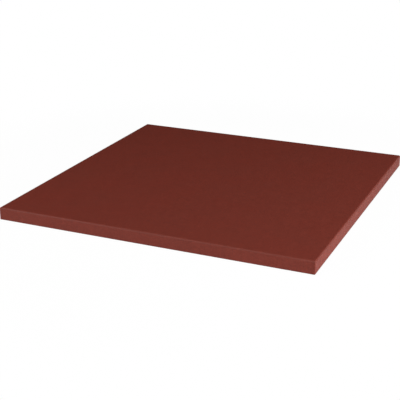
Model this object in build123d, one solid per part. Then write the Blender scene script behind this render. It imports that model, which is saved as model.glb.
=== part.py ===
from build123d import *
import os

# Square clinker floor tile, pressed from clay and fired as one piece.
# Frame: X and Y along the sides, Z up, origin in the middle of the bed plane that the tile lies on.

# Driving dimensions, in millimetres unless the name says otherwise.
tile_side = 300.0
tile_thickness = 12.0
arris_radius = 1.5  # rounding of the four edges of the wearing face
corner_radius = 0.4  # rounding of the four upright corners
bed_bevel = 0.5  # leg of the 45 degree bevel round the bed plane

# Keyed back: shallow recesses between ribs, inside a plain rim.
back_rim = 12.0
key_rib = 4.0
keys_per_row = 10
key_depth = 0.8
key_draft_degrees = 40.0  # slope of a recess wall, measured from the upright
key_corner_cut = 2.0  # leg of the 45 degree cut across each corner of a recess

# The recesses share the width that the rim and the ribs leave.
key_pitch = (tile_side - 2 * back_rim + key_rib) / keys_per_row
key_mouth = key_pitch - key_rib


def edge_section():
    """The tile's upright section: rounded at the wearing face, bevelled at the bed plane."""
    outline = Rectangle(tile_side, tile_thickness, align=(Align.CENTER, Align.MIN))
    bevelled = chamfer(outline.vertices().group_by(Axis.Y)[0], length=bed_bevel)
    return fillet(bevelled.vertices().group_by(Axis.Y)[-1], radius=arris_radius)


def pressed_body():
    """The same section run along X and along Y, mitred where they meet, inside the die's plan."""
    section = edge_section()
    half_side = tile_side / 2
    along_x = extrude(Plane.YZ * section, amount=half_side, both=True)
    along_y = extrude(Plane.XZ * section, amount=half_side, both=True)
    die_plan = RectangleRounded(tile_side, tile_side, corner_radius)
    return along_x & along_y & extrude(die_plan, amount=tile_thickness)


def back_keys():
    """The pads of the press plate that leave the recesses: each narrows as it sinks into the back."""
    mouth = chamfer(Rectangle(key_mouth, key_mouth).vertices(), length=key_corner_cut)
    pad = extrude(mouth, amount=key_depth, taper=key_draft_degrees)
    return [place * pad for place in GridLocations(key_pitch, key_pitch, keys_per_row, keys_per_row)]


clinker_tile = pressed_body() - back_keys()
clinker_tile.label = "clinker_tile"

os.makedirs("parts", exist_ok=True)
export_step(clinker_tile, "parts/clinker_tile.step")
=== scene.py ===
import math

import bmesh
import bpy
from mathutils import Matrix, Vector


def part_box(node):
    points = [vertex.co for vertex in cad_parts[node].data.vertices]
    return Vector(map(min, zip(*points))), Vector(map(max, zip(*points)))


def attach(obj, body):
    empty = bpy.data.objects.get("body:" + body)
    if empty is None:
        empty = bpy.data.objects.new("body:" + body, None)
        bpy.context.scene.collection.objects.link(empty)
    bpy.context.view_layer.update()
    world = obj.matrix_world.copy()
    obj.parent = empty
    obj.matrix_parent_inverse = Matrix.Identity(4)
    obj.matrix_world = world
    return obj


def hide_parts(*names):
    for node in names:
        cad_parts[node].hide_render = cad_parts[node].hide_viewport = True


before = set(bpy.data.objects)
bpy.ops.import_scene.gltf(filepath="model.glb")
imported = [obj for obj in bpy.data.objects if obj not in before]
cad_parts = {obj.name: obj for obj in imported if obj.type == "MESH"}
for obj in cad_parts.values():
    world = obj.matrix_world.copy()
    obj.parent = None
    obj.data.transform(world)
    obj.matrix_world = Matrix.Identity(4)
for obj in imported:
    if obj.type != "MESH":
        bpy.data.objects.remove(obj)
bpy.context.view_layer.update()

# One unglazed clinker floor tile, lying flat on a white floor in soft studio light.
# Lengths are in metres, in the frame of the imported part: Z up, origin in the middle of the bed plane.

MM = 0.001

# Tile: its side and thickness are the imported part's own.
TILE_LOW, TILE_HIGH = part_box("clinker_tile")
TILE_HALF = (TILE_HIGH.x - TILE_LOW.x) / 2
TILE_TOP = TILE_HIGH.z
ARRIS_RADIUS = 1.5 * MM  # rounding of the four edges of the wearing face
CORNER_RADIUS = 0.4 * MM  # rounding of the four upright corners
BED_BEVEL = 0.5 * MM
BED_EASING = 0.2 * MM  # softening of the bevel's two edges

# Keyed back: recesses between ribs, inside a plain rim.
KEYS_PER_ROW = 10
BACK_RIM = 12.0 * MM
KEY_RIB = 4.0 * MM
KEY_DEPTH = 0.8 * MM
KEY_DRAFT = math.radians(40.0)  # slope of a recess wall, measured from the upright
KEY_CORNER_RADIUS = 3.0 * MM
KEY_LIP_RADIUS = 0.4 * MM
KEY_ROOT_RADIUS = 0.5 * MM
KEY_MARGIN = KEY_RIB / 4  # even band round the mouth of a recess

KEY_PITCH = (2 * TILE_HALF - 2 * BACK_RIM + KEY_RIB) / KEYS_PER_ROW
KEY_CELL_HALF = KEY_PITCH / 2
KEY_MOUTH_HALF = (KEY_PITCH - KEY_RIB) / 2
KEY_FIELD_HALF = KEYS_PER_ROW * KEY_CELL_HALF

# Mesh: facets of the rounded stretches, and how its patches are joined and shaded.
ARC_STEP = math.radians(12.0)  # along a section
CORNER_STEPS = 6  # round a corner in plan, an even number
WELD_DISTANCE = 0.001 * MM
WIDE_FACE_WEIGHT = 100  # lets the flat faces set the shading along their edges

# Clinker: colours of the fired body.
CLAY_RED = (0.153, 0.0231, 0.0134, 1.0)
CLAY_BROWN = (0.147, 0.0237, 0.0141, 1.0)
ARRIS_WEAR_AND_HIGHLIGHT = (0.143, 0.0295, 0.0200, 1.0)  # the rounded edges of the wearing face are painted paler: partly edge wear, partly a painted highlight
IRON = (0.034, 0.0090, 0.0065, 1.0)
PALE_GRAIN = (0.280, 0.0620, 0.0350, 1.0)
KILN_DUST = (0.300, 0.1700, 0.1250, 1.0)

# Clinker: its clouds, mottling, grain and slight waves. Tones are factors on the colour.
CLOUD_SIZE = 32.0 * MM
MOTTLE_SIZE = 5.0 * MM
MOTTLE_TONES = (0.97, 1.03)
GRAIN_SIZE = 0.45 * MM
GRAIN_DETAIL = 3.0
GRAIN_TONES = (0.80, 1.20)
GRAIN_HEIGHT = 0.012 * MM
WAVE_SIZE = 9.0 * MM
WAVE_HEIGHT = 0.020 * MM

# Clinker: spots strewn through the body, each kind with its spacing, radius and share of the cells.
IRON_SPOTS = (1.4 * MM, 0.22 * MM, 0.6)
PALE_SPOTS = (1.2 * MM, 0.18 * MM, 0.5)
PALE_SHIFT = (0.31, 0.17, 0.23)  # keeps the pale grains from following the iron
PITS = (2.2 * MM, 0.26 * MM, 0.5)
PITS_TURN = (0.5, 0.8, 0.3)  # radians; keeps the pits from following either
PIT_DEPTH = 0.060 * MM
SPOT_CORE = 0.6  # share of a spot's radius in which it has its full strength

# Clinker: upright lines that the die leaves on the sides.
DRAG_SPACING = 0.8 * MM
DRAG_STRETCH = 0.06  # their spacing as a share of their length
DRAG_TONES = (-0.05, 0.05)  # what they add to the tone
DRAG_HEIGHT = 0.012 * MM

# Clinker: kiln dust, which clings to what stood on the kiln's rollers.
DUST_REACH = 0.3 * MM
DUST_SHARE = 0.4  # the most that it covers
DUST_DETAIL = 4.0

# Clinker: gloss.
ROUGHNESS = (0.60, 0.66)
GRAIN_ROUGHNESS = (-0.05, 0.05)  # what the grain adds to it
SPECULAR_LEVEL = 0.206

# Masks by the upright part of a face's normal: where each begins, and where it is full.
SIDE_FACING = (0.5, 0.1)
UP_FACING = (0.05, 0.4)
# ROUND_FACING picks the rounded edges of the wearing face, whose paler colour is partly a painted
# highlight.
ROUND_FACING = (0.98, 0.7)
DOWN_FACING = (-0.7, -0.95)

NOISE_BAND = (0.25, 0.75)  # the values that a noise node mostly keeps to
WHITE = (1.0, 1.0, 1.0, 1.0)

# Floor
FLOOR_REACH = 25.0
FLOOR_DROP = 0.02 * MM  # keeps the floor clear of the bed plane
FLOOR_LAP = 3.0 * MM  # how far it goes under the tile, round an opening that shows the back from beneath
FLOOR_COLOUR = (0.9, 0.9, 0.9, 1.0)
FLOOR_GLOW = (0.97, 1.0)  # share of its white that no shadow reaches, beside the tile and far off
GLOW_RISE = (0.25, 0.40)  # distances from the middle between which the one becomes the other

# Room and lamps
HORIZON_WIDTH = math.sin(math.radians(2.0))
LAMP_DISTANCE = 1.1
LAMPS = {
    # name: (degrees to the right of the front, degrees up, width, height, watts)
    "key_right": (70.0, 18.0, 0.6, 0.45, 14.8),
    "fill_left": (-47.0, 21.0, 0.6, 0.45, 7.2),
    "soft_above": (0.0, 85.0, 0.8, 0.8, 4.4),
    "rim_back": (137.0, 25.0, 0.5, 0.35, 0.9),
}

# Camera of the photograph
CAMERA_EYE = (0.3485, -0.8306, 0.3277)
CAMERA_PITCH = math.radians(20.545)  # down from the level
CAMERA_TURN = math.radians(23.704)  # to the left of straight ahead
CAMERA_LENS = 87.14  # focal length in millimetres
CAMERA_SENSOR = 36.0  # width in millimetres
CAMERA_CLIP = (0.01, 100.0)


# Mesh

def eased(corners):
    """A section through corners of (inset, height, radius), each corner rounded by its radius."""
    points = [Vector(corners[0][:2])]
    for before, here, after in zip(corners, corners[1:], corners[2:]):
        corner = Vector(here[:2])
        radius = here[2]
        back = (Vector(before[:2]) - corner).normalized()
        ahead = (Vector(after[:2]) - corner).normalized()
        half_angle = back.angle(ahead) / 2
        turn = math.pi - 2 * half_angle
        centre = corner + (back + ahead).normalized() * radius / math.sin(half_angle)
        start = corner + back * radius / math.tan(half_angle) - centre
        steps = math.ceil(turn / ARC_STEP)
        sense = math.copysign(1.0, back.x * ahead.y - back.y * ahead.x)
        for step in range(steps + 1):
            angle = -sense * turn * step / steps
            points.append(centre + Matrix.Rotation(angle, 2) @ start)
    points.append(Vector(corners[-1][:2]))
    return points


def quarter_turn():
    """The angles round one plan corner, both ends included."""
    return [math.pi / 2 * step / CORNER_STEPS for step in range(CORNER_STEPS + 1)]


def corner_arc(half, radius):
    """The rounded corner of a square, from its +X side to its +Y side."""
    reach = half - radius
    return [(reach + radius * math.cos(a), reach + radius * math.sin(a)) for a in quarter_turn()]


def four_times(quarter, height, centre=(0.0, 0.0)):
    """A closed ring from the points of its first quarter, at one height, about a centre."""
    ring = []
    for turn in range(4):
        spin = Matrix.Rotation(turn * math.pi / 2, 2)
        for point in quarter:
            x, y = spin @ Vector(point)
            ring.append((x + centre[0], y + centre[1], height))
    return ring


def key_places():
    """Where the middles of the recesses lie along a row."""
    first = KEY_CELL_HALF - KEY_FIELD_HALF
    return [first + key * KEY_PITCH for key in range(KEYS_PER_ROW)]


def field_lines():
    """Where the lines of the back's cells cross an edge, from end to end of the field of recesses."""
    mouth = corner_arc(KEY_MOUTH_HALF, KEY_CORNER_RADIUS)[:CORNER_STEPS // 2]
    within = [y for x, y in mouth]
    offsets = [-y for y in reversed(within)] + within
    lines = [-KEY_FIELD_HALF]
    for middle in key_places():
        lines += [middle + offset for offset in offsets]
        lines.append(middle + KEY_CELL_HALF)
    return lines


def loft(bm, rings):
    """Quads between rings of equal count. Gives the vertices of the last ring."""
    loops = [[bm.verts.new(point) for point in ring] for ring in rings]
    for lower, upper in zip(loops, loops[1:]):
        for i in range(len(lower)):
            j = (i + 1) % len(lower)
            bm.faces.new((lower[i], lower[j], upper[j], upper[i]))
    return loops[-1]


def outer_ring(lines, inset, height):
    """The tile's outline in plan, moved in by an inset."""
    half = TILE_HALF - inset
    side = [(half, line) for line in lines]
    return four_times(side + corner_arc(half, CORNER_RADIUS), height)


def add_rim(bm, lines, inset, height):
    """The plain border between the outline, moved in by an inset, and the field of recesses."""
    half = TILE_HALF - inset
    outlines = []
    for low, high in zip(lines, lines[1:]):
        outlines.append([(KEY_FIELD_HALF, low), (half, low), (half, high), (KEY_FIELD_HALF, high)])
    corner = [(KEY_FIELD_HALF, KEY_FIELD_HALF), (half, KEY_FIELD_HALF)]
    corner += corner_arc(half, CORNER_RADIUS)
    corner.append((KEY_FIELD_HALF, half))
    outlines.append(corner)
    for turn in range(4):
        spin = Matrix.Rotation(turn * math.pi / 2, 3, "Z")
        for outline in outlines:
            bm.faces.new([bm.verts.new(spin @ Vector((x, y, height))) for x, y in outline])


def add_wearing_field(bm, lines):
    """The flat wearing face, divided on the same lines as the back."""
    rows = [[bm.verts.new((x, y, TILE_TOP)) for x in lines] for y in lines]
    for front, back in zip(rows, rows[1:]):
        for i in range(len(lines) - 1):
            bm.faces.new((front[i], front[i + 1], back[i + 1], back[i]))


def add_key(bm, centre):
    """One recess with its share of the ribs round it."""
    edge = []
    for step, (x, y) in enumerate(corner_arc(KEY_MOUTH_HALF, KEY_CORNER_RADIUS)):
        on_x_side = step <= CORNER_STEPS // 2
        on_y_side = step >= CORNER_STEPS // 2
        edge.append((KEY_CELL_HALF if on_x_side else x, KEY_CELL_HALF if on_y_side else y))
    rings = [four_times(edge, 0.0, centre)]
    wall_run = KEY_DEPTH * math.tan(KEY_DRAFT)
    section = eased([
        (-KEY_MARGIN, 0.0, 0.0),
        (0.0, 0.0, KEY_LIP_RADIUS),
        (wall_run, KEY_DEPTH, KEY_ROOT_RADIUS),
        (2 * wall_run, KEY_DEPTH, 0.0),
    ])
    for inset, height in section:
        quarter = corner_arc(KEY_MOUTH_HALF - inset, KEY_CORNER_RADIUS - inset)
        rings.append(four_times(quarter, height, centre))
    bm.faces.new(loft(bm, rings))


def finished_mesh(bm, name):
    mesh = bpy.data.meshes.new(name)
    bm.to_mesh(mesh)
    bm.free()
    return mesh


def tile_mesh():
    """The whole tile as one closed mesh."""
    bm = bmesh.new()
    lines = field_lines()
    section = eased([
        (2 * BED_BEVEL, 0.0, 0.0),
        (BED_BEVEL, 0.0, BED_EASING),
        (0.0, BED_BEVEL, BED_EASING),
        (0.0, TILE_TOP, ARRIS_RADIUS),
        (2 * ARRIS_RADIUS, TILE_TOP, 0.0),
    ])
    loft(bm, [outer_ring(lines, inset, height) for inset, height in section])
    add_rim(bm, lines, section[0].x, 0.0)
    add_rim(bm, lines, section[-1].x, TILE_TOP)
    add_wearing_field(bm, lines)
    for x in key_places():
        for y in key_places():
            add_key(bm, (x, y))
    bmesh.ops.remove_doubles(bm, verts=bm.verts, dist=WELD_DISTANCE)
    bmesh.ops.recalc_face_normals(bm, faces=bm.faces)
    mesh = finished_mesh(bm, "clinker_tile_body")
    mesh.shade_smooth()
    return mesh


def add_object(name, data):
    obj = bpy.data.objects.new(name, data)
    bpy.context.scene.collection.objects.link(obj)
    return obj


# Nodes

def add_node(tree, kind, inputs=None, **settings):
    """A node with its settings, its inputs given as values or as other nodes' sockets."""
    node = tree.nodes.new(kind)
    for name, value in settings.items():
        setattr(node, name, value)
    for key, value in (inputs or {}).items():
        if isinstance(value, bpy.types.NodeSocket):
            tree.links.new(value, node.inputs[key])
        else:
            node.inputs[key].default_value = value
    return node


def new_material(name):
    material = bpy.data.materials.new(name)
    material.use_nodes = True
    material.node_tree.nodes.clear()
    return material


def maths(tree, operation, *values):
    return add_node(tree, "ShaderNodeMath", dict(enumerate(values)), operation=operation).outputs[0]


def chained(tree, operation, values):
    """One operation of two values, taken over any number of them."""
    result = values[0]
    for value in values[1:]:
        result = maths(tree, operation, result, value)
    return result


def product(tree, *factors):
    return chained(tree, "MULTIPLY", factors)


def total(tree, *terms):
    return chained(tree, "ADD", terms)


def greatest(tree, *values):
    return chained(tree, "MAXIMUM", values)


def ramp(tree, value, start, end, low=0.0, high=1.0):
    """Runs smoothly from low to high while the value goes from start to end."""
    inputs = {"Value": value, "From Min": start, "From Max": end, "To Min": low, "To Max": high}
    return add_node(tree, "ShaderNodeMapRange", inputs, interpolation_type="SMOOTHSTEP").outputs["Result"]


def mixed(tree, share, first, second):
    """The first colour, with a share of the second over it."""
    inputs = {0: share, 6: first, 7: second}  # the node's sockets for a factor and two colours
    return add_node(tree, "ShaderNodeMix", inputs, data_type="RGBA").outputs[2]


def upright_part(tree, vector):
    return add_node(tree, "ShaderNodeSeparateXYZ", {0: vector}).outputs["Z"]


def mapped(tree, place, change, amounts):
    """A place moved, turned or scaled by an amount for each axis."""
    return add_node(tree, "ShaderNodeMapping", {"Vector": place, change: amounts}).outputs[0]


def noise(tree, place, size, low, high, detail=2.0):
    """Soft noise with features of a given size, which runs from low to high."""
    inputs = {"Vector": place, "Scale": 1.0 / size, "Detail": detail}
    value = add_node(tree, "ShaderNodeTexNoise", inputs).outputs["Fac"]
    return ramp(tree, value, *NOISE_BAND, low, high)


def spots(tree, place, spacing, radius, share):
    """Round spots strewn through the body, in a share of the cells of a given spacing."""
    cells = add_node(tree, "ShaderNodeTexVoronoi", {"Vector": place, "Scale": 1.0 / spacing})
    reach = radius / spacing
    inside = ramp(tree, cells.outputs["Distance"], reach, SPOT_CORE * reach)
    draw = add_node(tree, "ShaderNodeSeparateColor", {0: cells.outputs["Color"]}).outputs[0]
    return product(tree, inside, maths(tree, "LESS_THAN", draw, share))


# Clinker

def clay_colour(tree, place, facing):
    """Red and brown clouds, with paler arrises (edge wear and a painted highlight), iron, pale grains and
    kiln dust laid over them.
    """
    # The rounded edges of the wearing face get a paler colour: partly edge wear, partly a painted
    # highlight.
    arris_wear_and_highlight = product(tree, ramp(tree, facing, *UP_FACING), ramp(tree, facing, *ROUND_FACING))
    iron = spots(tree, place, *IRON_SPOTS)
    pale = spots(tree, mapped(tree, place, "Location", PALE_SHIFT), *PALE_SPOTS)
    dust = product(
        tree,
        ramp(tree, facing, *DOWN_FACING),
        ramp(tree, upright_part(tree, place), DUST_REACH, 0.0),
        noise(tree, place, MOTTLE_SIZE, 0.0, DUST_SHARE, DUST_DETAIL),
    )
    colour = mixed(tree, noise(tree, place, CLOUD_SIZE, 0.0, 1.0), CLAY_RED, CLAY_BROWN)
    for share, layer in ((arris_wear_and_highlight, ARRIS_WEAR_AND_HIGHLIGHT), (iron, IRON), (pale, PALE_GRAIN), (dust, KILN_DUST)):
        colour = mixed(tree, share, colour, layer)
    return colour


def clinker_material():
    """Unglazed clay fired to clinker: one body, grained right through, marked by its die and its kiln."""
    material = new_material("fired_clinker")
    tree = material.node_tree
    texture = add_node(tree, "ShaderNodeTexCoord")
    place = texture.outputs["Object"]
    facing = upright_part(tree, texture.outputs["Normal"])
    sideways = ramp(tree, maths(tree, "ABSOLUTE", facing), *SIDE_FACING)
    along_die = mapped(tree, place, "Scale", (1.0, 1.0, DRAG_STRETCH))
    drag = noise(tree, along_die, DRAG_SPACING, 0.0, 1.0)
    grain = noise(tree, place, GRAIN_SIZE, 0.0, 1.0, GRAIN_DETAIL)
    pits = spots(tree, mapped(tree, place, "Rotation", PITS_TURN), *PITS)

    body = clay_colour(tree, place, facing)
    tone = product(
        tree,
        noise(tree, place, MOTTLE_SIZE, *MOTTLE_TONES),
        ramp(tree, grain, 0.0, 1.0, *GRAIN_TONES),
        total(tree, 1.0, product(tree, sideways, ramp(tree, drag, 0.0, 1.0, *DRAG_TONES))),
    )
    colour = add_node(tree, "ShaderNodeVectorMath", {0: body, "Scale": tone}, operation="SCALE").outputs[0]
    roughness = total(
        tree,
        noise(tree, place, MOTTLE_SIZE, *ROUGHNESS),
        ramp(tree, grain, 0.0, 1.0, *GRAIN_ROUGHNESS),
    )
    relief = total(
        tree,
        product(tree, grain, GRAIN_HEIGHT),
        noise(tree, place, WAVE_SIZE, 0.0, WAVE_HEIGHT),
        product(tree, drag, sideways, DRAG_HEIGHT),
        product(tree, pits, -PIT_DEPTH),
    )
    bump = add_node(tree, "ShaderNodeBump", {"Height": relief, "Distance": 1.0})

    shader = add_node(tree, "ShaderNodeBsdfPrincipled", {
        "Base Color": colour,
        "Roughness": roughness,
        "Specular IOR Level": SPECULAR_LEVEL,
        "Normal": bump.outputs[0],
    })
    add_node(tree, "ShaderNodeOutputMaterial", {"Surface": shader.outputs["BSDF"]})
    return material


# Stage

def floor_material():
    """White to the eye and in reflections, with the tile's shadow on it, and matt white as a bounce."""
    material = new_material("white_floor")
    material.cycles.emission_sampling = "NONE"
    tree = material.node_tree
    path = add_node(tree, "ShaderNodeLightPath")
    ways_to_see = ("Is Camera Ray", "Is Glossy Ray", "Is Transmission Ray")
    seen = greatest(tree, *[path.outputs[way] for way in ways_to_see])
    place = add_node(tree, "ShaderNodeTexCoord").outputs["Object"]
    distance = add_node(tree, "ShaderNodeVectorMath", {0: place}, operation="LENGTH").outputs["Value"]
    glow = ramp(tree, distance, *GLOW_RISE, *FLOOR_GLOW)
    matt = add_node(tree, "ShaderNodeBsdfDiffuse", {"Color": FLOOR_COLOUR})
    white = add_node(tree, "ShaderNodeEmission", {"Color": WHITE, "Strength": 1.0})
    surface = add_node(tree, "ShaderNodeMixShader", {
        0: product(tree, seen, glow),
        1: matt.outputs[0],
        2: white.outputs[0],
    })
    add_node(tree, "ShaderNodeOutputMaterial", {"Surface": surface.outputs[0]})
    return material


def add_floor():
    """A wide level floor with a square opening that the tile covers."""
    bm = bmesh.new()
    halves = (FLOOR_REACH, TILE_HALF - FLOOR_LAP)
    loft(bm, [four_times([(half, half)], -FLOOR_DROP) for half in halves])
    mesh = finished_mesh(bm, "floor")
    mesh.materials.append(floor_material())
    floor = add_object("floor", mesh)


def add_world():
    """A room that is white to the eye all round. As light it is white up to the horizon and dark above."""
    world = bpy.data.worlds.new("studio")
    bpy.context.scene.world = world
    world.use_nodes = True
    tree = world.node_tree
    tree.nodes.clear()
    climb = upright_part(tree, add_node(tree, "ShaderNodeTexCoord").outputs["Generated"])
    path = add_node(tree, "ShaderNodeLightPath")
    strength = greatest(
        tree,
        path.outputs["Is Camera Ray"],
        path.outputs["Is Transmission Ray"],
        ramp(tree, climb, HORIZON_WIDTH, 0.0),
    )
    background = add_node(tree, "ShaderNodeBackground", {"Color": WHITE, "Strength": strength})
    add_node(tree, "ShaderNodeOutputWorld", {"Surface": background.outputs[0]})


def add_lamps():
    """Soft rectangular lamps on a sphere round the tile, each facing its middle."""
    for name, (turn, climb, width, height, watts) in LAMPS.items():
        lamp = bpy.data.lights.new(name, "AREA")
        lamp.shape = "RECTANGLE"
        lamp.size = width
        lamp.size_y = height
        lamp.energy = watts
        obj = add_object(name, lamp)
        obj.visible_camera = False
        tilt = Matrix.Rotation(math.radians(90.0 - climb), 4, "X")
        spin = Matrix.Rotation(math.radians(turn), 4, "Z")
        obj.matrix_world = spin @ tilt @ Matrix.Translation((0.0, 0.0, LAMP_DISTANCE))


def add_camera():
    camera = bpy.data.cameras.new("camera")
    camera.sensor_width = CAMERA_SENSOR
    camera.lens = CAMERA_LENS
    camera.clip_start, camera.clip_end = CAMERA_CLIP
    obj = add_object("camera", camera)
    obj.location = CAMERA_EYE
    obj.rotation_euler = (math.pi / 2 - CAMERA_PITCH, 0.0, CAMERA_TURN)
    bpy.context.scene.camera = obj


# The scene

tile = add_object("clinker_tile_body", tile_mesh())
tile.data.materials.append(clinker_material())
evenly_lit = tile.modifiers.new("flat_faces_stay_flat", "WEIGHTED_NORMAL")
evenly_lit.weight = WIDE_FACE_WEIGHT
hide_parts("clinker_tile")
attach(tile, "root")

add_floor()
add_world()
add_lamps()
add_camera()
bpy.context.scene.view_settings.view_transform = "Standard"
